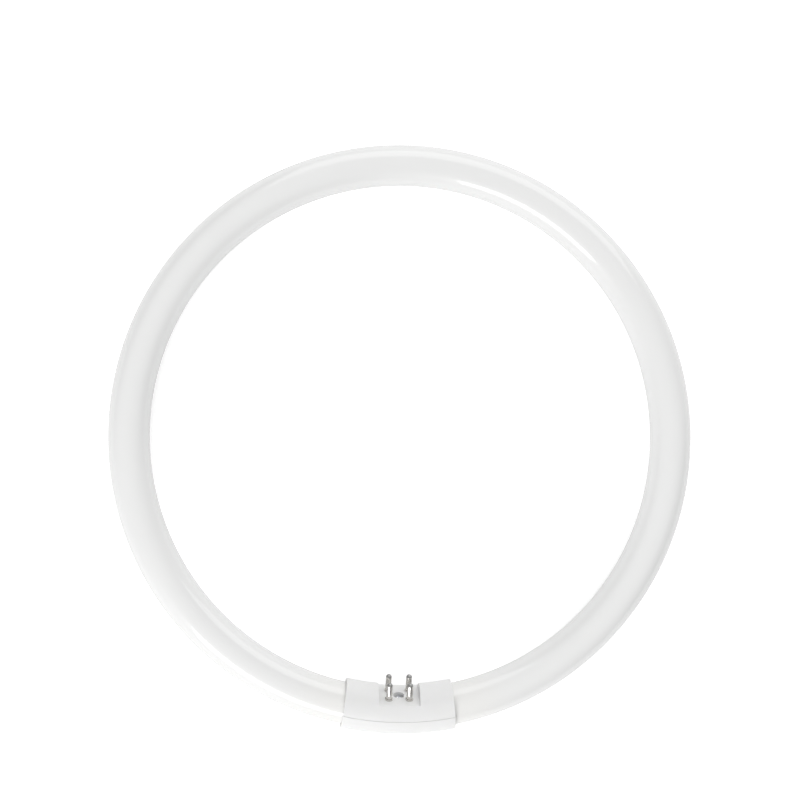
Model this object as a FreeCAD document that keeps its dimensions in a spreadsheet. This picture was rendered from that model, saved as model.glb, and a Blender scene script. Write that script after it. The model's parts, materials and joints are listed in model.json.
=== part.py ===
"""Circular fluorescent tube: a ring of 16 mm glass closed by a two-part cap with four contact pins.

Frame: the origin is the centre of the ring, in the plane of the tube's centre line. +Z is the
ring's axis, on the side that the contact pins lean to, and the cap is on the -Y side.

Cap frame, for all pieces of the cap: its origin is on the tube's centre line in the middle of the
cap, +X runs along the tube, +Z is the direction of the pins and +Y points away from their lean.
"""
import FreeCAD
import Part
import Sketcher
import math
import os

# Driving dimensions, in millimetres and degrees
SIZES = {
    "ring_outer_diameter": 230,
    "tube_diameter": 16,
    "glass_end_gap": 23,
    "glass_end_round": 3.5,
    "exhaust_tip_diameter": 3,
    "exhaust_tip_length": 3,
    "pin_tilt": 25,
    "cap_length": 43.2,
    "end_slant": 6.5,
    "end_stock": 2,
    "cap_gap": 0.5,
    "cap_wall": 1.1,
    "cap_rim_round": 0.35,
    "seam_gap": 0.08,
    "seam_bevel": 0.15,
    "lip_thickness": 0.45,
    "lip_height": 0.8,
    "lip_clearance": 0.05,
    "saddle_clearance": 0.05,
    "saddle_length": 4,
    "saddle_setback": 1.5,
    "platform_depth": 3.5,
    "platform_length": 16,
    "platform_floor": 2.2,
    "step_wall": 1.2,
    "pin_spacing_along": 7.92,
    "pin_spacing_across": 6.35,
    "pin_diameter": 2.3,
    "pin_length": 7.3,
    "pin_bore": 1.5,
    "pin_tip_wall": 1.4,
    "pin_collar_diameter": 3,
    "pin_collar_height": 0.6,
    "pin_foot_diameter": 3.2,
    "pin_foot_height": 0.5,
    "pin_hole_clearance": 0.03,
    "screw_diameter": 2.2,
    "screw_length": 9.5,
    "screw_point_length": 1.6,
    "screw_head_diameter": 4,
    "screw_head_rim": 0.5,
    "screw_head_height": 1.3,
    "screw_head_recess": 0.4,
    "screw_head_clearance": 0.2,
    "screw_hole_clearance": 0.15,
    "pilot_clearance": 0.03,
    "pilot_end_clearance": 0.6,
    "recess_width": 0.6,
    "recess_span": 2.4,
    "recess_depth": 0.8,
    "boss_diameter": 6.4,
    "boss_length": 2.9,
    "boss_gap": 0.1,
    "gusset_thickness": 0.9,
    "gusset_reach": 2.5,
    "gusset_height": 4,
    "lead_diameter": 0.6,
    "lead_level": 0.5,
    "lead_bend_radius": 2,
    "lead_seal_depth": 1,
    "sleeve_diameter": 1.2,
    "sleeve_clearance": 0.05,
    "sleeve_end_gap": 0.3,
}

# How far a point may be from the place where it is looked for, in millimetres
POINT_TOLERANCE = 0.001

# Worked-out sizes, as expressions of the sheet
ring_radius = "((Sizes.ring_outer_diameter - Sizes.tube_diameter) / 2)"
tube_radius = "(Sizes.tube_diameter / 2)"
saddle_radius = "(Sizes.tube_diameter / 2 + Sizes.saddle_clearance)"
bore_radius = "(Sizes.tube_diameter / 2 + Sizes.cap_gap)"
lip_radius = f"({bore_radius} + Sizes.lip_thickness)"
rebate_radius = f"({lip_radius} + Sizes.lip_clearance)"
rebate_depth = "(Sizes.lip_height + Sizes.lip_clearance)"
mid_wall_radius = f"({bore_radius} + Sizes.cap_wall / 2)"
cap_radius = f"({bore_radius} + Sizes.cap_wall)"
platform_level = f"({cap_radius} - Sizes.platform_depth)"
floor_level = f"({platform_level} - Sizes.platform_floor)"
head_seat_level = f"({platform_level} - Sizes.screw_head_recess - Sizes.screw_head_height)"
boss_end_level = f"({floor_level} - Sizes.boss_length)"
pillar_level = f"({boss_end_level} - Sizes.boss_gap)"
glass_end_angle = f"(Sizes.glass_end_gap / 2 / {ring_radius} * 180 / pi)"
glass_end_x = f"({ring_radius} * sin({glass_end_angle}))"
glass_end_y = f"(-{ring_radius} * cos({glass_end_angle}))"
lead_end_x = f"({glass_end_x} + Sizes.lead_seal_depth)"
lead_rise = f"(Sizes.lead_level - {platform_level})"
lead_start = "(Sizes.pin_length - Sizes.pin_tip_wall)"
pin_rows = {"rear": "Sizes.pin_spacing_across / 2", "front": "-Sizes.pin_spacing_across / 2"}
cap_turn = "rotation(vector(1; 0; 0); Sizes.pin_tilt - 90)"


def arc_angle(length):
    """The angle in degrees that a length along the tube's centre line takes of the ring."""
    return f"(({length}) / {ring_radius} * 180 / pi)"


def cap_point(along, behind, out):
    """A point of the cap frame, as a vector in the ring's frame."""
    across = f"{behind} * sin(Sizes.pin_tilt) + {out} * cos(Sizes.pin_tilt) - {ring_radius}"
    height = f"{out} * sin(Sizes.pin_tilt) - {behind} * cos(Sizes.pin_tilt)"
    return along, across, height


def cap_placement(along="0", behind="0", out="0", turn=None):
    """The placement of a piece at a point of the cap frame, turned there about the pin direction."""
    vector = "vector({}; {}; {})".format(*cap_point(along, behind, out))
    if turn is None:
        return f"placement({vector}; {cap_turn})"
    return f"placement({vector}; {cap_turn} * rotation(vector(0; 0; 1); {turn}))"


def new_body(name, placement=None):
    body = document.addObject("PartDesign::Body", name)
    body.Label = name
    if placement:
        body.setExpression("Placement", placement)
    return body


def origin_item(body, role):
    return next(item for item in body.Origin.OriginFeatures if item.Role == role)


def new_sketch(body, name, role, offset=None):
    """A sketch on an origin plane of the body, moved by the placement expression in offset."""
    sketch = body.newObject("Sketcher::SketchObject", name)
    sketch.AttachmentSupport = [(origin_item(body, role), "")]
    sketch.MapMode = "FlatFace"
    if offset:
        sketch.setExpression("AttachmentOffset", offset)
    return sketch


def lifted(distance):
    """An offset along the normal of a sketch's plane."""
    return f"placement(vector(0; 0; {distance}); rotation(vector(0; 0; 1); 0))"


def bind(sketch, kind, references, expression):
    """Adds a dimension that follows an expression of the sheet."""
    index = sketch.addConstraint(Sketcher.Constraint(kind, *references, sketch.evalExpression(expression)))
    name = f"size{index}"
    sketch.renameConstraint(index, name)
    sketch.setExpression(f"Constraints.{name}", expression)


def fix_point(sketch, point, across, upward):
    """Puts a point (geometry, position) of the sketch at two coordinates; None leaves one free."""
    if across == "0":
        sketch.addConstraint(Sketcher.Constraint("PointOnObject", *point, -2))
    elif across is not None:
        bind(sketch, "DistanceX", (-1, 1, *point), across)
    if upward == "0":
        sketch.addConstraint(Sketcher.Constraint("PointOnObject", *point, -1))
    elif upward is not None:
        bind(sketch, "DistanceY", (-1, 1, *point), upward)


def vector_of(sketch, across, upward):
    return FreeCAD.Vector(sketch.evalExpression(across), sketch.evalExpression(upward), 0)


def draw_circle(sketch, across, upward, diameter):
    centre = vector_of(sketch, across, upward)
    radius = sketch.evalExpression(diameter) / 2
    circle = sketch.addGeometry(Part.Circle(centre, FreeCAD.Vector(0, 0, 1), radius))
    fix_point(sketch, (circle, 3), across, upward)
    bind(sketch, "Diameter", (circle,), diameter)


def draw_axis(sketch, start, end):
    """A construction line, the first of which is the sketch's Axis0."""
    line = sketch.addGeometry(Part.LineSegment(vector_of(sketch, *start), vector_of(sketch, *end)), True)
    fix_point(sketch, (line, 1), *start)
    fix_point(sketch, (line, 2), *end)


def draw_ring_axis(sketch):
    """The ring's axis, in a sketch on the YZ plane of the cap frame."""
    centre = (f"{ring_radius} * sin(Sizes.pin_tilt)", f"{ring_radius} * cos(Sizes.pin_tilt)")
    above = (
        f"{centre[0]} - {tube_radius} * cos(Sizes.pin_tilt)",
        f"{centre[1]} + {tube_radius} * sin(Sizes.pin_tilt)",
    )
    draw_axis(sketch, centre, above)


def draw_outline(sketch, corners, arcs=None, closed=True):
    """Draws an outline through corners, each a pair of expressions.

    arcs gives, for the corner where an arc starts, its centre, whether it turns left, and the
    expression of its radius, or None. A corner with a third entry, 0 or 1, leaves that coordinate
    to the arc.
    """
    arcs = arcs or {}
    points = [vector_of(sketch, *corner[:2]) for corner in corners]
    starts = []
    ends = []
    for number, start in enumerate(points if closed else points[:-1]):
        end = points[(number + 1) % len(points)]
        if number not in arcs:
            line = sketch.addGeometry(Part.LineSegment(start, end))
            starts.append((line, 1))
            ends.append((line, 2))
            continue
        centre, turns_left, radius = arcs[number]
        middle = vector_of(sketch, *centre)
        first, last = (start, end) if turns_left else (end, start)
        angles = [math.atan2(point.y - middle.y, point.x - middle.x) for point in (first, last)]
        circle = Part.Circle(middle, FreeCAD.Vector(0, 0, 1), (start - middle).Length)
        arc = sketch.addGeometry(Part.ArcOfCircle(circle, *angles))
        starts.append((arc, 1 if turns_left else 2))
        ends.append((arc, 2 if turns_left else 1))
        fix_point(sketch, (arc, 3), *centre)
        if radius:
            bind(sketch, "Radius", (arc,), radius)
    for number, corner in enumerate(corners):
        if closed or 0 < number < len(starts):
            sketch.addConstraint(Sketcher.Constraint("Coincident", *ends[number - 1], *starts[number]))
        place = list(corner[:2])
        if len(corner) == 3:
            place[corner[2]] = None
        fix_point(sketch, starts[number] if number < len(starts) else ends[-1], *place)


def draw_rectangle(sketch, length, width):
    """A rectangle about the sketch's origin."""
    right, top = f"({length}) / 2", f"({width}) / 2"
    left, bottom = f"-({length}) / 2", f"-({width}) / 2"
    draw_outline(sketch, [(left, bottom), (right, bottom), (right, top), (left, top)])


def turn_profile(body, sketch, kind="Revolution", axis="Axis0", angle="360"):
    """Turns a sketch about an axis, half of the angle to each side of its plane."""
    feature = body.newObject(f"PartDesign::{kind}", f"{sketch.Label}Turned")
    feature.Profile = sketch
    feature.ReferenceAxis = (sketch, [axis])
    feature.Midplane = True
    feature.setExpression("Angle", angle)
    document.recompute()
    return feature


def extrude(body, sketch, kind, length, upward=True, both_ways=False):
    """Pads a sketch, or cuts a pocket with it, along its normal, against it or half each way."""
    feature = body.newObject(f"PartDesign::{kind}", f"{sketch.Label}{kind}")
    feature.Profile = sketch
    feature.Reversed = upward == (kind == "Pocket")
    feature.Midplane = both_ways
    feature.setExpression("Length", length)
    document.recompute()
    return feature


def round_edges(body, name, picks, rounding_radius):
    """Rounds the edges of the body that the function picks is true for."""
    last = body.Tip
    names = [f"Edge{number}" for number, edge in enumerate(last.Shape.Edges, 1) if picks(edge)]
    rounding = body.newObject("PartDesign::Fillet", name)
    rounding.Base = (last, names)
    rounding.setExpression("Radius", rounding_radius)
    document.recompute()


def glass_end_edges(body):
    """Picks the circles round the two end faces of the tube."""
    radius = body.evalExpression(tube_radius)

    def picks(edge):
        return isinstance(edge.Curve, Part.Circle) and math.isclose(edge.Curve.Radius, radius)

    return picks


def cap_rim_edges(body):
    """Picks the edges between a shell's outside and its slanting ends."""
    middle, outside = body.evalExpression(ring_radius), body.evalExpression(cap_radius)
    half_length = body.evalExpression("Sizes.cap_length / 2")
    slope = body.evalExpression("tan(Sizes.end_slant)")

    def picks(edge):
        point = body.Placement.multVec(edge.valueAt((edge.FirstParameter + edge.LastParameter) / 2))
        end_distance = half_length - (point.y + middle) * slope
        from_centre_line = math.hypot(math.hypot(point.x, point.y) - middle, point.z)
        on_end = math.isclose(abs(point.x), end_distance, abs_tol=POINT_TOLERANCE)
        return on_end and math.isclose(from_centre_line, outside, abs_tol=POINT_TOLERANCE)

    return picks


def build_glass_tube():
    """The sealed bulb: a ring of tube with a rounded end and an exhaust tip on each side of the gap."""
    body = new_body("glass_tube")
    section = new_sketch(body, "TubeSection", "YZ_Plane")
    draw_circle(section, ring_radius, "0", "Sizes.tube_diameter")
    turn_profile(body, section, axis="V_Axis", angle=f"360 - 2 * {glass_end_angle}")
    round_edges(body, "RoundedEnds", glass_end_edges(body), "Sizes.glass_end_round")

    at_end = f"placement(vector({glass_end_x}; {glass_end_y}; 0); rotation(vector(0; 0; 1); {glass_end_angle}))"
    tip = new_sketch(body, "ExhaustTip", "XY_Plane", at_end)
    tip_radius = "Sizes.exhaust_tip_diameter / 2"
    dome_centre = f"{tip_radius} - Sizes.exhaust_tip_length"
    draw_outline(
        tip,
        [
            ("Sizes.glass_end_round", "0"),
            ("Sizes.glass_end_round", tip_radius),
            (dome_centre, tip_radius),
            ("-Sizes.exhaust_tip_length", "0", 0),
        ],
        {2: ((dome_centre, "0"), True, None)},
    )
    turned = turn_profile(body, tip, axis="H_Axis")
    mirror = body.newObject("PartDesign::Mirrored", "SecondTip")
    mirror.Originals = [turned]
    mirror.MirrorPlane = (origin_item(body, "YZ_Plane"), [""])
    body.Tip = mirror
    document.recompute()

    for row, behind in pin_rows.items():
        seal = new_sketch(body, f"{row}LeadSeal", "YZ_Plane")
        _, across, upward = cap_point("0", behind, "Sizes.lead_level")
        draw_circle(seal, across, upward, "Sizes.lead_diameter")
        extrude(body, seal, "Pocket", f"2 * {lead_end_x}", both_ways=True)


def add_saddles(body, side, level):
    """Adds the crescents in both ends of a shell that hold the glass, from a level to the crown."""
    crescent = new_sketch(body, f"{side}Saddles", "YZ_Plane")
    draw_ring_axis(crescent)
    first, last = ("", "-") if side == "Inner" else ("-", "")
    draw_outline(
        crescent,
        [
            (f"{first}{mid_wall_radius}", level, 0),
            (f"{last}{mid_wall_radius}", level, 0),
            (f"{last}{saddle_radius}", level, 0),
            (f"{first}{saddle_radius}", level, 0),
        ],
        {0: (("0", "0"), True, mid_wall_radius), 2: (("0", "0"), False, saddle_radius)},
    )
    turn_profile(body, crescent, angle=arc_angle("Sizes.cap_length - 2 * Sizes.saddle_setback"))
    middle = new_sketch(body, f"{side}SaddleGap", "YZ_Plane")
    draw_ring_axis(middle)
    draw_outline(
        middle,
        [(f"{first}{bore_radius}", level, 0), (f"{last}{bore_radius}", level, 0)],
        {0: (("0", "0"), True, bore_radius)},
    )
    between = "Sizes.cap_length - 2 * Sizes.saddle_setback - 2 * Sizes.saddle_length"
    turn_profile(body, middle, "Groove", angle=arc_angle(between))


def slant_ends(body):
    """Cuts the ends of a shell along planes that are upright in the ring and nearly square to the tube."""
    level = "placement(vector(0; 0; 0); rotation(vector(1; 0; 0); 90 - Sizes.pin_tilt))"
    ends = new_sketch(body, "SlantingEnds", "XY_Plane", level)
    reach = f"(2 * {cap_radius})"
    inner_end = f"(Sizes.cap_length / 2 - {reach} * tan(Sizes.end_slant))"
    outer_end = f"(Sizes.cap_length / 2 + {reach} * tan(Sizes.end_slant))"
    for side in ("-", ""):
        corners = [(inner_end, reach), ("Sizes.cap_length", reach), ("Sizes.cap_length", f"-{reach}")]
        corners.append((outer_end, f"-{reach}"))
        draw_outline(ends, [(f"{side}{across}", upward) for across, upward in corners])
    extrude(body, ends, "Pocket", f"2 * {reach}", both_ways=True)


def build_inner_shell():
    """The half of the cap that faces the ring's centre and carries the pins on a sunk flat."""
    body = new_body("cap_inner_shell", cap_placement())
    wall = new_sketch(body, "InnerWall", "YZ_Plane")
    draw_ring_axis(wall)
    draw_outline(
        wall,
        [
            (cap_radius, "Sizes.seam_bevel", 0),
            (f"-{cap_radius}", "Sizes.seam_bevel", 0),
            (f"Sizes.seam_bevel - {cap_radius}", "0"),
            (f"-{lip_radius}", "0"),
            (f"-{lip_radius}", "-Sizes.lip_height"),
            (f"-{bore_radius}", "-Sizes.lip_height"),
            (f"-{bore_radius}", "0"),
            (bore_radius, "0", 0),
            (bore_radius, "-Sizes.lip_height"),
            (lip_radius, "-Sizes.lip_height"),
            (lip_radius, "0"),
            (f"{cap_radius} - Sizes.seam_bevel", "0"),
        ],
        {0: (("0", "0"), True, cap_radius), 6: (("0", "0"), False, None)},
    )
    turn_profile(body, wall, angle=arc_angle("Sizes.cap_length + 2 * Sizes.end_stock"))
    add_saddles(body, "Inner", "0")

    crown = new_sketch(body, "PinBlock", "YZ_Plane")
    draw_outline(
        crown,
        [(mid_wall_radius, floor_level, 0), (f"-{mid_wall_radius}", floor_level, 0)],
        {0: (("0", "0"), True, mid_wall_radius)},
    )
    extrude(body, crown, "Pad", "Sizes.platform_length + 2 * Sizes.step_wall", both_ways=True)
    boss = new_sketch(body, "ScrewBoss", "XY_Plane", lifted(boss_end_level))
    draw_circle(boss, "0", "0", "Sizes.boss_diameter")
    extrude(body, boss, "Pad", "Sizes.boss_length + Sizes.platform_floor / 2")

    platform = new_sketch(body, "Platform", "XY_Plane", lifted(platform_level))
    draw_rectangle(platform, "Sizes.platform_length", f"2 * {cap_radius}")
    extrude(body, platform, "Pocket", "Sizes.platform_depth + Sizes.cap_wall")
    holes = new_sketch(body, "PinHoles", "XY_Plane", lifted(platform_level))
    for side in ("-", ""):
        for behind in pin_rows.values():
            hole_diameter = "Sizes.pin_diameter + 2 * Sizes.pin_hole_clearance"
            draw_circle(holes, f"{side}Sizes.pin_spacing_along / 2", behind, hole_diameter)
    extrude(body, holes, "Pocket", "2 * Sizes.platform_floor", upward=False)
    seat = new_sketch(body, "ScrewHeadSeat", "XY_Plane", lifted(head_seat_level))
    draw_circle(seat, "0", "0", "Sizes.screw_head_diameter + 2 * Sizes.screw_head_clearance")
    extrude(body, seat, "Pocket", "Sizes.screw_head_recess + Sizes.screw_head_height + Sizes.platform_depth")
    passage = new_sketch(body, "ScrewPassage", "XY_Plane", lifted(platform_level))
    draw_circle(passage, "0", "0", "Sizes.screw_diameter + 2 * Sizes.screw_hole_clearance")
    extrude(body, passage, "Pocket", "2 * Sizes.platform_floor + Sizes.boss_length", upward=False)
    slant_ends(body)
    round_edges(body, "InnerRims", cap_rim_edges(body), "Sizes.cap_rim_round")


def build_outer_shell():
    """The half of the cap that faces away from the ring's centre, with the pillar for the screw."""
    body = new_body("cap_outer_shell", cap_placement())
    wall = new_sketch(body, "OuterWall", "YZ_Plane")
    draw_ring_axis(wall)
    bevel_level = "-(Sizes.seam_gap + Sizes.seam_bevel)"
    draw_outline(
        wall,
        [
            (f"-{cap_radius}", bevel_level, 0),
            (cap_radius, bevel_level, 0),
            (f"{cap_radius} - Sizes.seam_bevel", "-Sizes.seam_gap"),
            (rebate_radius, "-Sizes.seam_gap"),
            (rebate_radius, f"-{rebate_depth}"),
            (bore_radius, f"-{rebate_depth}", 0),
            (f"-{bore_radius}", f"-{rebate_depth}", 0),
            (f"-{rebate_radius}", f"-{rebate_depth}"),
            (f"-{rebate_radius}", "-Sizes.seam_gap"),
            (f"Sizes.seam_bevel - {cap_radius}", "-Sizes.seam_gap"),
        ],
        {0: (("0", "0"), True, cap_radius), 5: (("0", "0"), False, bore_radius)},
    )
    turn_profile(body, wall, angle=arc_angle("Sizes.cap_length + 2 * Sizes.end_stock"))
    add_saddles(body, "Outer", f"-{rebate_depth}")

    foot_level = f"(-{bore_radius} - Sizes.cap_wall / 4)"
    pillar = new_sketch(body, "ScrewPillar", "XY_Plane", lifted(foot_level))
    draw_circle(pillar, "0", "0", "Sizes.boss_diameter")
    extrude(body, pillar, "Pad", f"{pillar_level} - {foot_level}")
    gussets = new_sketch(body, "Gussets", "XY_Plane", lifted(foot_level))
    draw_rectangle(gussets, "Sizes.boss_diameter + 2 * Sizes.gusset_reach", "Sizes.gusset_thickness")
    extrude(body, gussets, "Pad", "Sizes.gusset_height")
    pilot = new_sketch(body, "PilotHole", "XY_Plane", lifted(pillar_level))
    draw_circle(pilot, "0", "0", "Sizes.screw_diameter + 2 * Sizes.pilot_clearance")
    screw_end = f"({head_seat_level} - Sizes.screw_length)"
    pilot_depth = f"{pillar_level} - {screw_end} + Sizes.pilot_end_clearance"
    extrude(body, pilot, "Pocket", pilot_depth, upward=False)
    slant_ends(body)
    round_edges(body, "OuterRims", cap_rim_edges(body), "Sizes.cap_rim_round")


def build_screw():
    """The screw between the pins that draws the two shells together."""
    body = new_body("clamp_screw", cap_placement(out=head_seat_level))
    head_radius = "Sizes.screw_head_diameter / 2"
    dome_height = "(Sizes.screw_head_height - Sizes.screw_head_rim)"
    dome_radius = f"((({head_radius}) ^ 2 + {dome_height} ^ 2) / 2 / {dome_height})"
    profile = new_sketch(body, "ScrewProfile", "XZ_Plane")
    draw_outline(
        profile,
        [
            ("0", "-Sizes.screw_length"),
            ("Sizes.screw_diameter / 2", "Sizes.screw_point_length - Sizes.screw_length"),
            ("Sizes.screw_diameter / 2", "0"),
            (head_radius, "0"),
            (head_radius, "Sizes.screw_head_rim"),
            ("0", "Sizes.screw_head_height", 1),
        ],
        {4: (("0", f"Sizes.screw_head_height - {dome_radius}"), True, None)},
    )
    turn_profile(body, profile, axis="V_Axis")
    slot = new_sketch(body, "CrossSlot", "XY_Plane", lifted("Sizes.screw_head_height"))
    draw_rectangle(slot, "Sizes.recess_span", "Sizes.recess_width")
    cut = extrude(body, slot, "Pocket", "Sizes.recess_depth", upward=False)
    cross = body.newObject("PartDesign::PolarPattern", "Cross")
    cross.Originals = [cut]
    cross.Axis = (origin_item(body, "Z_Axis"), [""])
    cross.Angle = 90
    cross.Occurrences = 2
    body.Tip = cross
    document.recompute()


def build_pin(name, placement):
    """A hollow contact pin: its collar stands on the flat and its foot is spread under the floor."""
    body = new_body(name, placement)
    pin_radius = "(Sizes.pin_diameter / 2)"
    foot_level = "-(Sizes.platform_floor + Sizes.pin_foot_height)"
    profile = new_sketch(body, "PinProfile", "XZ_Plane")
    draw_outline(
        profile,
        [
            ("Sizes.pin_bore / 2", foot_level),
            ("Sizes.pin_foot_diameter / 2", foot_level),
            ("Sizes.pin_foot_diameter / 2", "-Sizes.platform_floor"),
            (pin_radius, "-Sizes.platform_floor"),
            (pin_radius, "0"),
            ("Sizes.pin_collar_diameter / 2", "0"),
            ("Sizes.pin_collar_diameter / 2", "Sizes.pin_collar_height"),
            (pin_radius, "Sizes.pin_collar_height"),
            (pin_radius, f"Sizes.pin_length - {pin_radius}"),
            ("0", "Sizes.pin_length", 1),
            ("0", lead_start),
            ("Sizes.pin_bore / 2", lead_start),
        ],
        {8: (("0", f"Sizes.pin_length - {pin_radius}"), True, None)},
    )
    turn_profile(body, profile, axis="V_Axis")


def build_lead(name, placement):
    """A lead wire from the tip of its pin, down the pin's bore and round a bend into the glass."""
    body = new_body(name, placement)
    section = new_sketch(body, "WireSection", "XY_Plane", lifted(lead_start))
    draw_circle(section, "0", "0", "Sizes.lead_diameter")
    route = new_sketch(body, "WireRoute", "XZ_Plane")
    bend_top = f"{lead_rise} + Sizes.lead_bend_radius"
    draw_outline(
        route,
        [
            ("0", lead_start),
            ("0", bend_top),
            ("Sizes.lead_bend_radius", lead_rise, 1),
            (f"{lead_end_x} - Sizes.pin_spacing_along / 2", lead_rise),
        ],
        {1: (("Sizes.lead_bend_radius", bend_top), True, None)},
        closed=False,
    )
    document.recompute()
    wire = body.newObject("PartDesign::AdditivePipe", "Wire")
    wire.Profile = section
    wire.Spine = (route, ["Edge1", "Edge2", "Edge3"])
    document.recompute()


def build_sleeve(name, placement):
    """The insulating tube on the straight run of a lead wire."""
    body = new_body(name, placement)
    start = "Sizes.lead_bend_radius + Sizes.sleeve_end_gap"
    end = f"{glass_end_x} - Sizes.pin_spacing_along / 2 - Sizes.sleeve_end_gap"
    section = new_sketch(body, "SleeveSection", "YZ_Plane", lifted(start))
    draw_circle(section, "0", lead_rise, "Sizes.sleeve_diameter")
    draw_circle(section, "0", lead_rise, "Sizes.lead_diameter + 2 * Sizes.sleeve_clearance")
    extrude(body, section, "Pad", f"{end} - ({start})")


def export_parts():
    """Checks every object of the document and writes each sub-part."""
    for item in document.Objects:
        if "Invalid" in item.State or "Error" in item.State:
            raise RuntimeError(f"{item.Name} failed: {item.State}")
    bodies = [item for item in document.Objects if item.TypeId == "PartDesign::Body"]
    for body in bodies:
        shape = body.Shape
        if shape.isNull() or not shape.isValid() or len(shape.Solids) != 1:
            raise RuntimeError(f"{body.Label} isn't one valid solid")
    os.makedirs("parts", exist_ok=True)
    for body in bodies:
        body.Shape.exportStep(f"parts/{body.Label}.step")


document = FreeCAD.newDocument("CircularFluorescentTube")
sheet = document.addObject("Spreadsheet::Sheet", "Sizes")
for row_number, (size_name, size) in enumerate(SIZES.items(), 1):
    sheet.set(f"A{row_number}", size_name)
    sheet.set(f"B{row_number}", str(size))
    sheet.setAlias(f"B{row_number}", size_name)
document.recompute()

build_glass_tube()
build_inner_shell()
build_outer_shell()
build_screw()
for side, sign, half_turn in (("left", "-", "180"), ("right", "", "0")):
    for row, behind in pin_rows.items():
        place = cap_placement(f"{sign}Sizes.pin_spacing_along / 2", behind, platform_level, half_turn)
        build_pin(f"contact_pin_{side}_{row}", place)
        build_lead(f"lead_wire_{side}_{row}", place)
        build_sleeve(f"lead_sleeve_{side}_{row}", place)
export_parts()
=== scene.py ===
"""Circular fluorescent tube: a coated glass ring with a white two-part cap and four nickel pins."""
import bpy
import json
import math
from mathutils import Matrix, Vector


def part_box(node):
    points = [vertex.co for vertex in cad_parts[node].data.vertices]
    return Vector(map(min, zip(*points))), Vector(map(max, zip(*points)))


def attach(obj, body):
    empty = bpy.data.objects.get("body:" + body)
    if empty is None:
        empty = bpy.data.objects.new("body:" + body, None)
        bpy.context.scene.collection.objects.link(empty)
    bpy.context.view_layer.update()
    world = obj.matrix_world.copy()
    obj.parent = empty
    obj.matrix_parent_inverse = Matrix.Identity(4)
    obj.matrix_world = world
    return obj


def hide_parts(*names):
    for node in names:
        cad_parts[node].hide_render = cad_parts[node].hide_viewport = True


bl_info = {
    "name": "Circular Fluorescent Tube",
    "version": (1, 0, 0),
    "blender": (4, 5, 0),
    "location": "View3D > Sidebar > Ring Lamp",
    "description": "Dresses the packed ring lamp: coated glass, moulded cap, plated pins and a plain stage",
    "category": "Object",
}

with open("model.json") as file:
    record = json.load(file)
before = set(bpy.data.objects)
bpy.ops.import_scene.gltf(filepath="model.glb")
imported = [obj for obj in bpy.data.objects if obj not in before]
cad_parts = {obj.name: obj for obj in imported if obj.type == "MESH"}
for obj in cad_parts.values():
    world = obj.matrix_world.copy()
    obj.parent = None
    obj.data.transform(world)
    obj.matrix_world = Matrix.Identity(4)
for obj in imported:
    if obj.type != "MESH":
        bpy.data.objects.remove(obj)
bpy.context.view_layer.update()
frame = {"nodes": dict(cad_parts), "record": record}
NODES = frame["nodes"]
BODY = "root"

# Sizes taken from the frame, in metres
GLASS_LOW, GLASS_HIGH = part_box("glass_tube")
TUBE_RADIUS = (GLASS_HIGH.z - GLASS_LOW.z) / 2
RING_RADIUS = GLASS_HIGH.x - TUBE_RADIUS
FLOOR_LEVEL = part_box("cap_outer_shell")[0].z
PIN_MOUNTS = [mount for mount in frame["record"]["mounts"] if mount["kind"] == "pin"]
PIN_DIRECTION = Vector(PIN_MOUNTS[0]["axis"])
PIN_TIP_LEVEL = max(vertex.co.dot(PIN_DIRECTION) for vertex in NODES["contact_pin_left_rear"].data.vertices)

CAP_SHELLS = ("cap_inner_shell", "cap_outer_shell")
PINS = [name for name in NODES if name.startswith("contact_pin")]
LEADS = [name for name in NODES if name.startswith("lead_wire")]
SLEEVES = [name for name in NODES if name.startswith("lead_sleeve")]

# Angles from the middle of the cap where the coating is warmest and where it is plain, in radians
WARM_COATING_ANGLE = 0.20
PLAIN_COATING_ANGLE = 0.48

# Solder on the pins, in metres below the tip, and how far its edge wanders
SOLDER_EDGE = 0.0009
SOLDER_FULL = 0.0003
SOLDER_WANDER = 0.0008

# Roughness of the pins' plating, and what the solder adds to it
NICKEL_ROUGHNESS = 0.12
SOLDER_EXTRA_ROUGHNESS = 0.2

# Painted shade in the grooves between the sleeves' threads: their colour as a share of the threads' own
PAINTED_GROOVE_SHADE = 0.7

# Points along each exhaust tip
TIP_STEPS = 40

# The floor's half width in metres, and the part of its glow that mirror reflections see
FLOOR_HALF_WIDTH = 6.0
REFLECTED_GLOW = 0.25

# The sky darkens round this direction and its opposite, from the first cosine to the second
DARK_DIRECTION = (0.81, -0.58, 0.08)
DARK_EDGE_COSINE = 0.64
DARK_FULL_COSINE = 0.97
DARK_STRENGTH = 0.2

# The two area lights, with places and sizes in metres
KEY_PLACE, KEY_SIZE = (-0.60, -1.30, 0.65), (0.97, 0.57)
FILL_PLACE, FILL_SIZE = (0.42, 1.50, 0.75), (2.4, 1.2)


# Settings

def length_property(name, description, default):
    """A length in metres."""
    return bpy.props.FloatProperty(
        name=name, description=description, default=default, subtype="DISTANCE", unit="LENGTH", precision=5
    )


def angle_property(name, description, default):
    """An angle, kept in radians."""
    return bpy.props.FloatProperty(
        name=name, description=description, default=default, subtype="ANGLE", unit="ROTATION"
    )


def colour_property(name, description, default):
    """A colour without transparency."""
    return bpy.props.FloatVectorProperty(
        name=name, description=description, default=default, subtype="COLOR", size=3, min=0, max=1
    )


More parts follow.
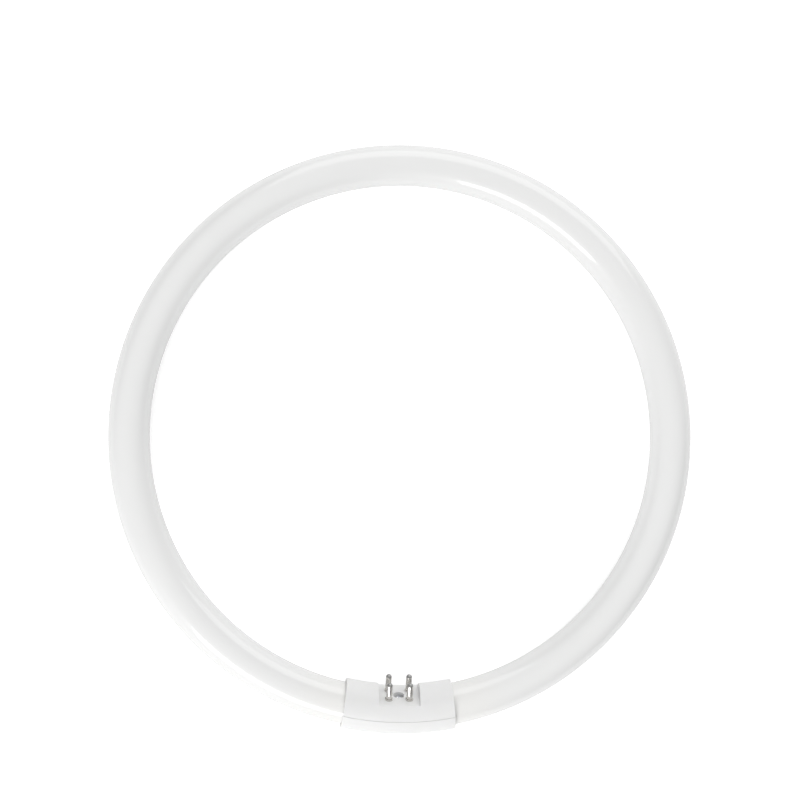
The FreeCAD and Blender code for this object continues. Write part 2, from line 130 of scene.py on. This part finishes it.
class RingLampSizes(bpy.types.PropertyGroup):
    """Sizes of what is modelled here."""
    ring_radius: length_property("Ring radius", "From the centre to the tube's centre line", RING_RADIUS)
    tube_radius: length_property("Tube radius", "Outer radius of the glass", TUBE_RADIUS)
    end_angle: angle_property("End angle", "From the middle of the cap to an end of the glass", 0.10748)
    end_rounding: length_property("End rounding", "Radius of the rounding at both ends of the glass", 0.0035)
    tip_radius: length_property("Tip radius", "Radius of the sealed exhaust tips", 0.0015)
    tip_length: length_property("Tip length", "How far the exhaust tips stand out of the glass", 0.003)
    steps_along: bpy.props.IntProperty(name="Steps along", description="Faces along the ring", default=900)
    steps_around: bpy.props.IntProperty(name="Steps around", description="Faces round the tube", default=72)


class RingLampColours(bpy.types.PropertyGroup):
    """Colours of the lamp's surfaces."""
    coating: colour_property("Coating", "The white coating under the glass", (0.856, 0.856, 0.853))
    coating_end: colour_property("Coating at the ends", "The coating beside the cap", (0.868, 0.862, 0.846))
    glass: colour_property("Glass", "The tint of the clear glass", (0.968, 0.97, 0.968))
    cap: colour_property("Cap", "The cap's plastic", (0.818, 0.818, 0.815))
    nickel: colour_property("Nickel", "The plating of the pins", (0.66, 0.645, 0.62))
    solder: colour_property("Solder", "The solder on the pins' tips", (0.34, 0.34, 0.335))
    zinc: colour_property("Zinc", "The plating of the screw", (0.74, 0.75, 0.77))
    copper: colour_property("Copper", "The lead wires", (0.62, 0.32, 0.18))
    sleeving: colour_property("Sleeving", "The woven sleeves on the leads", (0.80, 0.77, 0.68))


class RingLampStage(bpy.types.PropertyGroup):
    """The floor, the lights and the camera."""
    floor_colour: colour_property("Floor", "The floor's colour", (0.90, 0.90, 0.90))
    floor_glow: bpy.props.FloatProperty(
        name="Floor glow", description="Light on the floor that only the camera and reflections see",
        default=0.4
    )
    sky_strength: bpy.props.FloatProperty(
        name="Sky", description="Brightness of the light all round", default=0.76
    )
    key_power: bpy.props.FloatProperty(
        name="Key light", description="Power of the light at the lower left in watts", default=11.0
    )
    fill_power: bpy.props.FloatProperty(
        name="Fill light", description="Power of the wide light at the upper right in watts", default=12.4
    )
    camera_place: bpy.props.FloatVectorProperty(
        name="Camera", description="Where the camera stands", default=(-0.0501, -0.0190, 0.5978),
        subtype="TRANSLATION", unit="LENGTH", size=3
    )
    camera_tilt: angle_property("Camera tilt", "Turn of the camera about X", math.radians(3.0))
    camera_turn: angle_property("Camera turn", "Turn of the camera about Y", math.radians(-4.7))
    camera_roll: angle_property("Camera roll", "Turn of the camera about Z", math.radians(1.46))
    camera_lens: bpy.props.FloatProperty(
        name="Lens", description="Focal length in millimetres for a sensor 36 mm wide", default=68.5
    )


# Node trees

class Tree:
    """Adds nodes to a tree, with their inputs given by name or number."""

    def __init__(self, tree):
        self.nodes = tree.nodes
        self.links = tree.links

    def add(self, kind, settings=None, **inputs):
        """Adds a node with its settings and inputs; an underscore in an input's name stands for a space."""
        node = self.nodes.new(kind)
        for name, value in (settings or {}).items():
            setattr(node, name, value)
        for name, value in inputs.items():
            self.feed(node, name.replace("_", " "), value)
        return node

    def feed(self, node, name, value):
        """Gives an input a value, or links it to an output."""
        if isinstance(name, str):
            socket = next(item for item in node.inputs if item.name.lower() == name.lower() and item.enabled)
        else:
            socket = node.inputs[name]
        if isinstance(value, bpy.types.NodeSocket):
            self.links.new(value, socket)
        else:
            socket.default_value = value

    def math(self, operation, *values, clamp=False):
        """The output of a math node over the given values."""
        node = self.add("ShaderNodeMath", {"operation": operation, "use_clamp": clamp})
        for number, value in enumerate(values):
            self.feed(node, number, value)
        return node.outputs[0]


def new_group(name, kind, inputs, outputs):
    """A node group, with the socket type of each input and output given by its name."""
    group = bpy.data.node_groups.new(name, kind)
    for in_out, sockets in (("INPUT", inputs), ("OUTPUT", outputs)):
        for socket_name, socket_type in sockets.items():
            group.interface.new_socket(socket_name, in_out=in_out, socket_type=socket_type)
    return group


def object_place(tree):
    """The place on the object, in metres."""
    return tree.add("ShaderNodeTexCoord").outputs["Object"]


def scaled_colour(tree, colour, factor):
    """A colour times a factor."""
    scaled = tree.add("ShaderNodeVectorMath", {"operation": "SCALE"})
    tree.feed(scaled, 0, colour)
    tree.feed(scaled, "Scale", factor)
    return scaled.outputs["Vector"]


def dot_product(tree, vector, direction):
    """How far a vector reaches along a direction."""
    dot = tree.add("ShaderNodeVectorMath", {"operation": "DOT_PRODUCT"})
    tree.feed(dot, 0, vector)
    tree.feed(dot, 1, direction)
    return dot.outputs["Value"]


def mix_colours(tree, share, first, second):
    """The first colour where the share is 0, turning into the second where it is 1."""
    mix = tree.add("ShaderNodeMix", {"data_type": "RGBA"})
    tree.feed(mix, 0, share)
    tree.feed(mix, "A", (*first, 1))
    tree.feed(mix, "B", (*second, 1))
    return next(output for output in mix.outputs if output.enabled)


def surface_grain_group():
    """Fine grain and broad mottling, shared by the materials: a tone near 1 and a height from 0 to 1."""
    name = "Surface grain"
    if name in bpy.data.node_groups:
        return bpy.data.node_groups[name]
    group = new_group(
        name, "ShaderNodeTree",
        dict.fromkeys(("Grain Scale", "Mottle Scale", "Mottle Depth"), "NodeSocketFloat"),
        dict.fromkeys(("Tone", "Height"), "NodeSocketFloat"),
    )
    tree = Tree(group)
    given = tree.add("NodeGroupInput").outputs
    place = object_place(tree)
    grain = tree.add("ShaderNodeTexNoise", Vector=place, Scale=given["Grain Scale"], Detail=3.0)
    mottle = tree.add("ShaderNodeTexNoise", Vector=place, Scale=given["Mottle Scale"], Detail=4.0)
    centred = tree.math("SUBTRACT", mottle.outputs["Fac"], 0.5)
    tone = tree.math("MULTIPLY_ADD", centred, given["Mottle Depth"], 1.0)
    tree.add("NodeGroupOutput", Tone=tone, Height=grain.outputs["Fac"])
    return group


# Materials

def new_material(name, **inputs):
    """A material with its tree builder and its Principled shader, whose fixed inputs are given by name."""
    material = bpy.data.materials.new(name)
    material.use_nodes = True
    tree = Tree(material.node_tree)
    shader = material.node_tree.nodes["Principled BSDF"]
    for socket_name, value in inputs.items():
        shader.inputs[socket_name.replace("_", " ")].default_value = value
    return material, tree, shader


def add_grain(tree, shader, colour, grain_scale, mottle_scale, mottle_depth, bump_depth):
    """Feeds a shader a mottled colour and the bumps of a fine grain."""
    grain = tree.add("ShaderNodeGroup", {"node_tree": surface_grain_group()})
    tree.feed(grain, "Grain Scale", grain_scale)
    tree.feed(grain, "Mottle Scale", mottle_scale)
    tree.feed(grain, "Mottle Depth", mottle_depth)
    tree.feed(shader, "Base Color", scaled_colour(tree, colour, grain.outputs["Tone"]))
    bump = tree.add("ShaderNodeBump", Strength=0.4, Distance=bump_depth, Height=grain.outputs["Height"])
    tree.feed(shader, "Normal", bump.outputs["Normal"])


def coated_glass_material(colours):
    """Clear glass over a white coating that turns warmer beside the cap."""
    material, tree, shader = new_material(
        "coated_glass", Roughness=0.35, IOR=1.5, Coat_Weight=1.0, Coat_Roughness=0.05, Coat_IOR=1.5,
        Coat_Tint=(*colours.glass, 1)
    )
    parts = tree.add("ShaderNodeSeparateXYZ", Vector=object_place(tree)).outputs
    toward_cap = tree.math("MULTIPLY", parts["Y"], -1.0)
    from_cap = tree.math("ARCTAN2", tree.math("ABSOLUTE", parts["X"]), toward_cap)
    near_cap = tree.add(
        "ShaderNodeMapRange", {"interpolation_type": "SMOOTHERSTEP"}, Value=from_cap,
        From_Min=WARM_COATING_ANGLE, From_Max=PLAIN_COATING_ANGLE, To_Min=1.0, To_Max=0.0
    )
    mixed = mix_colours(tree, near_cap.outputs["Result"], colours.coating, colours.coating_end)
    add_grain(tree, shader, mixed, grain_scale=9000.0, mottle_scale=45.0, mottle_depth=0.03, bump_depth=4e-6)
    return material


def cap_plastic_material(colours):
    """White moulded plastic that lets a little light through."""
    material, tree, shader = new_material(
        "cap_plastic", Roughness=0.42, IOR=1.46, Subsurface_Weight=0.6,
        Subsurface_Radius=(0.003, 0.003, 0.0028)
    )
    add_grain(
        tree, shader, colours.cap, grain_scale=6000.0, mottle_scale=90.0, mottle_depth=0.02, bump_depth=1e-5
    )
    return material


def metal_material(name, colour, roughness, grain_scale, bump_depth):
    """Bare or plated metal with a fine grain."""
    material, tree, shader = new_material(name, Metallic=1.0, Roughness=roughness)
    add_grain(tree, shader, colour, grain_scale, mottle_scale=400.0, mottle_depth=0.12, bump_depth=bump_depth)
    return material


def pin_material(colours):
    """Bright nickel plate with solder left on the tips."""
    material, tree, shader = new_material("nickel_plate", Metallic=1.0)
    place = object_place(tree)
    along = dot_product(tree, place, PIN_DIRECTION)
    ragged = tree.add("ShaderNodeTexNoise", Vector=place, Scale=700.0)
    level = tree.math("MULTIPLY_ADD", ragged.outputs["Fac"], SOLDER_WANDER, along)
    solder = tree.add(
        "ShaderNodeMapRange", {"interpolation_type": "SMOOTHSTEP"}, Value=level,
        From_Min=PIN_TIP_LEVEL - SOLDER_EDGE, From_Max=PIN_TIP_LEVEL - SOLDER_FULL
    ).outputs["Result"]
    mixed = mix_colours(tree, solder, colours.nickel, colours.solder)
    add_grain(tree, shader, mixed, grain_scale=5000.0, mottle_scale=400.0, mottle_depth=0.12, bump_depth=4e-6)
    roughness = tree.math("MULTIPLY_ADD", solder, SOLDER_EXTRA_ROUGHNESS, NICKEL_ROUGHNESS)
    tree.feed(shader, "Roughness", roughness)
    return material


def sleeving_material(colours):
    """Woven sleeving: two crossed waves raise the threads, and painted shade darkens the grooves between
    them.
    """
    material, tree, shader = new_material("sleeving", Roughness=0.85)
    place = object_place(tree)
    waves = []
    for turn in (math.radians(45), math.radians(-45)):
        turned = tree.add("ShaderNodeMapping", Vector=place, Rotation=(0.0, 0.0, turn))
        wave = tree.add("ShaderNodeTexWave", Vector=turned.outputs["Vector"], Scale=900.0)
        waves.append(wave.outputs["Fac"])
    threads = tree.math("MAXIMUM", *waves)
    bump = tree.add("ShaderNodeBump", Strength=0.6, Distance=5e-5, Height=threads)
    tree.feed(shader, "Normal", bump.outputs["Normal"])
    # Painted shade: the grooves between the threads are darkened
    shade = tree.math("MULTIPLY_ADD", threads, 1 - PAINTED_GROOVE_SHADE, PAINTED_GROOVE_SHADE)
    tree.feed(shader, "Base Color", scaled_colour(tree, colours.sleeving, shade))
    return material


def dress(names, material):
    """Gives CAD nodes a material."""
    for name in names:
        slots = NODES[name].data.materials
        slots.clear()
        slots.append(material)


# The glass, a sweep whose shape follows the ring

def ring_glass_tree():
    """Geometry Nodes for the ring of glass with rounded ends and an exhaust tip on each."""
    lengths = ("Ring Radius", "Tube Radius", "End Angle", "End Rounding", "Tip Radius", "Tip Length")
    counts = ("Steps Along", "Steps Around")
    inputs = {
        **dict.fromkeys(lengths, "NodeSocketFloat"),
        **dict.fromkeys(counts, "NodeSocketInt"),
        "Material": "NodeSocketMaterial",
    }
    group = new_group("Ring glass", "GeometryNodeTree", inputs, {"Mesh": "NodeSocketGeometry"})
    tree = Tree(group)
    given = tree.add("NodeGroupInput").outputs
    arc = tree.add(
        "GeometryNodeCurveArc", {"mode": "RADIUS"},
        Resolution=given["Steps Along"], Radius=given["Ring Radius"],
        Start_Angle=tree.math("SUBTRACT", given["End Angle"], math.pi / 2),
        Sweep_Angle=tree.math("MULTIPLY_ADD", given["End Angle"], -2.0, 2 * math.pi),
    )
    meshes = [rounded_sweep(tree, arc.outputs["Curve"], given["Tube Radius"], given["End Rounding"], given)]
    for side in (1.0, -1.0):
        meshes.append(exhaust_tip(tree, given, side))
    joined = tree.add("GeometryNodeJoinGeometry")
    for mesh in meshes:
        tree.feed(joined, 0, mesh)
    smooth = tree.add("GeometryNodeSetShadeSmooth", Geometry=joined.outputs[0])
    real = tree.add("GeometryNodeRealizeInstances", Geometry=smooth.outputs[0])
    finish = tree.add("GeometryNodeSetMaterial", Geometry=real.outputs[0], Material=given["Material"])
    tree.add("NodeGroupOutput", Mesh=finish.outputs[0])
    return group


def rounded_sweep(tree, curve, radius, rounding, given):
    """A round rod along a curve, with both ends rounded off."""
    whole = tree.add("GeometryNodeCurveLength", Curve=curve).outputs[0]
    along = tree.add("GeometryNodeSplineParameter").outputs["Length"]
    from_end = tree.math("MINIMUM", along, tree.math("SUBTRACT", whole, along))
    inside = tree.math("SUBTRACT", 1.0, tree.math("DIVIDE", from_end, rounding), clamp=True)
    rise = tree.math("SQRT", tree.math("SUBTRACT", 1.0, tree.math("POWER", inside, 2.0)))
    drop = tree.math("SUBTRACT", 1.0, rise)
    share = tree.math("SUBTRACT", 1.0, tree.math("MULTIPLY", drop, tree.math("DIVIDE", rounding, radius)))
    swelled = tree.add("GeometryNodeSetCurveRadius", Curve=curve, Radius=share)
    profile = tree.add("GeometryNodeCurvePrimitiveCircle", Resolution=given["Steps Around"], Radius=radius)
    rod = tree.add(
        "GeometryNodeCurveToMesh", Curve=swelled.outputs[0], Profile_Curve=profile.outputs[0], Fill_Caps=True
    )
    return rod.outputs[0]


def exhaust_tip(tree, given, side):
    """A short rod with a domed end, on the end of the glass at the right (1) or left (-1) of the gap."""
    out = tree.math("MULTIPLY", given["Tip Length"], -side)
    back = tree.math("MULTIPLY", given["End Rounding"], side)
    below = tree.math("MULTIPLY", given["Ring Radius"], -1.0)
    start = tree.add("ShaderNodeCombineXYZ", X=back, Y=below)
    end = tree.add("ShaderNodeCombineXYZ", X=out, Y=below)
    line = tree.add("GeometryNodeCurvePrimitiveLine", Start=start.outputs[0], End=end.outputs[0])
    fine = tree.add("GeometryNodeResampleCurve", Curve=line.outputs[0], Count=TIP_STEPS)
    turn = tree.add("ShaderNodeCombineXYZ", Z=tree.math("MULTIPLY", given["End Angle"], side))
    placed = tree.add("GeometryNodeTransform", Geometry=fine.outputs[0], Rotation=turn.outputs[0])
    return rounded_sweep(tree, placed.outputs[0], given["Tip Radius"], given["Tip Radius"], given)


def made_by_nodes(name, group, values):
    """The mesh that a Geometry Nodes tree makes with the given input values, as a plain object."""
    carrier = bpy.data.objects.new(f"{name}_carrier", bpy.data.meshes.new(f"{name}_carrier"))
    bpy.context.scene.collection.objects.link(carrier)
    modifier = carrier.modifiers.new("Nodes", "NODES")
    modifier.node_group = group
    for item in group.interface.items_tree:
        if item.in_out == "INPUT":
            modifier[item.identifier] = values[item.name]
    bpy.context.view_layer.update()
    evaluated = carrier.evaluated_get(bpy.context.evaluated_depsgraph_get())
    mesh = bpy.data.meshes.new_from_object(evaluated)
    mesh.name = name
    bpy.data.objects.remove(carrier)
    piece = bpy.data.objects.new(name, mesh)
    bpy.context.scene.collection.objects.link(piece)
    return piece


# One step for each piece or group of pieces

class RINGLAMP_OT_glass(bpy.types.Operator):
    """Builds the coated glass ring"""
    bl_idname = "ringlamp.glass"
    bl_label = "Glass ring"

    def execute(self, context):
        sizes = context.scene.ring_lamp_sizes
        values = {
            "Ring Radius": sizes.ring_radius,
            "Tube Radius": sizes.tube_radius,
            "End Angle": sizes.end_angle,
            "End Rounding": sizes.end_rounding,
            "Tip Radius": sizes.tip_radius,
            "Tip Length": sizes.tip_length,
            "Steps Along": sizes.steps_along,
            "Steps Around": sizes.steps_around,
            "Material": coated_glass_material(context.scene.ring_lamp_colours),
        }
        glass = made_by_nodes("glass_ring", ring_glass_tree(), values)
        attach(glass, BODY)
        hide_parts("glass_tube")
        return {"FINISHED"}


class RINGLAMP_OT_cap(bpy.types.Operator):
    """Finishes both halves of the cap in white plastic"""
    bl_idname = "ringlamp.cap"
    bl_label = "Cap"

    def execute(self, context):
        dress(CAP_SHELLS, cap_plastic_material(context.scene.ring_lamp_colours))
        return {"FINISHED"}


class RINGLAMP_OT_contacts(bpy.types.Operator):
    """Finishes the four contact pins in nickel plate"""
    bl_idname = "ringlamp.contacts"
    bl_label = "Contact pins"

    def execute(self, context):
        dress(PINS, pin_material(context.scene.ring_lamp_colours))
        return {"FINISHED"}


class RINGLAMP_OT_screw(bpy.types.Operator):
    """Finishes the clamp screw in zinc plate"""
    bl_idname = "ringlamp.screw"
    bl_label = "Clamp screw"

    def execute(self, context):
        zinc = context.scene.ring_lamp_colours.zinc
        plate = metal_material("plated_steel", zinc, roughness=0.24, grain_scale=4000.0, bump_depth=6e-6)
        dress(["clamp_screw"], plate)
        return {"FINISHED"}


class RINGLAMP_OT_leads(bpy.types.Operator):
    """Finishes the lead wires and their sleeves"""
    bl_idname = "ringlamp.leads"
    bl_label = "Leads and sleeves"

    def execute(self, context):
        colours = context.scene.ring_lamp_colours
        copper = colours.copper
        wire = metal_material("copper_wire", copper, roughness=0.35, grain_scale=5000.0, bump_depth=4e-6)
        dress(LEADS, wire)
        dress(SLEEVES, sleeving_material(colours))
        return {"FINISHED"}


# The stage

def floor_material(stage):
    """A pale floor with a glow that only the camera sees, and mirror reflections in part."""
    material, tree, shader = new_material(
        "floor", Base_Color=(*stage.floor_colour, 1), Roughness=0.9, Specular_IOR_Level=0.0,
        Emission_Color=(1, 1, 1, 1)
    )
    rays = tree.add("ShaderNodeLightPath").outputs
    mirrored = tree.math("MULTIPLY", rays["Is Glossy Ray"], REFLECTED_GLOW)
    seen = tree.math("MAXIMUM", rays["Is Camera Ray"], mirrored)
    tree.feed(shader, "Emission Strength", tree.math("MULTIPLY", seen, stage.floor_glow))
    return material


def add_floor(stage):
    """A wide square under the lamp."""
    corners = [
        (right * FLOOR_HALF_WIDTH, back * FLOOR_HALF_WIDTH, FLOOR_LEVEL)
        for right, back in ((-1, -1), (1, -1), (1, 1), (-1, 1))
    ]
    mesh = bpy.data.meshes.new("floor")
    mesh.from_pydata(corners, [], [(0, 1, 2, 3)])
    mesh.materials.append(floor_material(stage))
    floor = bpy.data.objects.new("floor", mesh)
    bpy.context.scene.collection.objects.link(floor)


def light_world(stage):
    """A soft sky that is darker toward two opposite sides, and white where the camera sees it."""
    world = bpy.data.worlds.new("studio")
    bpy.context.scene.world = world
    world.use_nodes = True
    tree = Tree(world.node_tree)
    way = tree.add("ShaderNodeTexCoord").outputs["Generated"]
    sideways = tree.math("ABSOLUTE", dot_product(tree, way, DARK_DIRECTION))
    shade = tree.add(
        "ShaderNodeMapRange", {"interpolation_type": "SMOOTHSTEP"}, Value=sideways,
        From_Min=DARK_EDGE_COSINE, From_Max=DARK_FULL_COSINE, To_Min=stage.sky_strength, To_Max=DARK_STRENGTH
    )
    sky = world.node_tree.nodes["Background"]
    tree.feed(sky, "Color", (1, 1, 1, 1))
    tree.feed(sky, "Strength", shade.outputs["Result"])
    white = tree.add("ShaderNodeBackground", Color=(1, 1, 1, 1), Strength=1.0)
    seen = tree.add("ShaderNodeMixShader")
    tree.feed(seen, 0, tree.add("ShaderNodeLightPath").outputs["Is Camera Ray"])
    tree.feed(seen, 1, sky.outputs[0])
    tree.feed(seen, 2, white.outputs[0])
    tree.feed(world.node_tree.nodes["World Output"], "Surface", seen.outputs[0])


def add_area_light(name, place, size, power):
    """A rectangular light that faces the middle of the ring."""
    light = bpy.data.lights.new(name, "AREA")
    light.shape = "RECTANGLE"
    light.size, light.size_y = size
    light.energy = power
    lamp = bpy.data.objects.new(name, light)
    lamp.location = place
    lamp.rotation_euler = (-Vector(place)).to_track_quat("-Z", "Y").to_euler()
    bpy.context.scene.collection.objects.link(lamp)


def add_camera(stage):
    """The camera, fitted to the outlines of the ring and the cap."""
    camera = bpy.data.cameras.new("camera")
    camera.sensor_width = 36
    camera.lens = stage.camera_lens
    viewer = bpy.data.objects.new("camera", camera)
    viewer.location = stage.camera_place
    viewer.rotation_mode = "YXZ"
    viewer.rotation_euler = (stage.camera_tilt, stage.camera_turn, stage.camera_roll)
    bpy.context.scene.collection.objects.link(viewer)
    bpy.context.scene.camera = viewer


class RINGLAMP_OT_stage(bpy.types.Operator):
    """Sets up the floor, the lights and the camera"""
    bl_idname = "ringlamp.stage"
    bl_label = "Stage"

    def execute(self, context):
        stage = context.scene.ring_lamp_stage
        add_floor(stage)
        light_world(stage)
        add_area_light("key", KEY_PLACE, KEY_SIZE, stage.key_power)
        add_area_light("fill", FILL_PLACE, FILL_SIZE, stage.fill_power)
        add_camera(stage)
        context.scene.view_settings.view_transform = "Standard"
        return {"FINISHED"}


PROPERTY_GROUPS = {
    "ring_lamp_sizes": RingLampSizes,
    "ring_lamp_colours": RingLampColours,
    "ring_lamp_stage": RingLampStage,
}
OPERATORS = (
    RINGLAMP_OT_glass,
    RINGLAMP_OT_cap,
    RINGLAMP_OT_contacts,
    RINGLAMP_OT_screw,
    RINGLAMP_OT_leads,
    RINGLAMP_OT_stage,
)


class RINGLAMP_PT_panel(bpy.types.Panel):
    """The ring lamp's sizes, colours and steps."""
    bl_idname = "RINGLAMP_PT_panel"
    bl_label = "Ring Lamp"
    bl_space_type = "VIEW_3D"
    bl_region_type = "UI"
    bl_category = "Ring Lamp"

    def draw(self, context):
        for group_name in PROPERTY_GROUPS:
            group = getattr(context.scene, group_name)
            column = self.layout.column()
            for name in group.__annotations__:
                column.prop(group, name)
        for operator in OPERATORS:
            self.layout.operator(operator.bl_idname)


CLASSES = (*PROPERTY_GROUPS.values(), *OPERATORS, RINGLAMP_PT_panel)


def register():
    for item in CLASSES:
        bpy.utils.register_class(item)
    for name, group in PROPERTY_GROUPS.items():
        setattr(bpy.types.Scene, name, bpy.props.PointerProperty(type=group))


def unregister():
    for name in PROPERTY_GROUPS:
        delattr(bpy.types.Scene, name)
    for item in reversed(CLASSES):
        bpy.utils.unregister_class(item)


def main():
    register()
    bpy.ops.ringlamp.glass()
    bpy.ops.ringlamp.cap()
    bpy.ops.ringlamp.contacts()
    bpy.ops.ringlamp.screw()
    bpy.ops.ringlamp.leads()
    bpy.ops.ringlamp.stage()


if __name__ == "__main__":
    main()
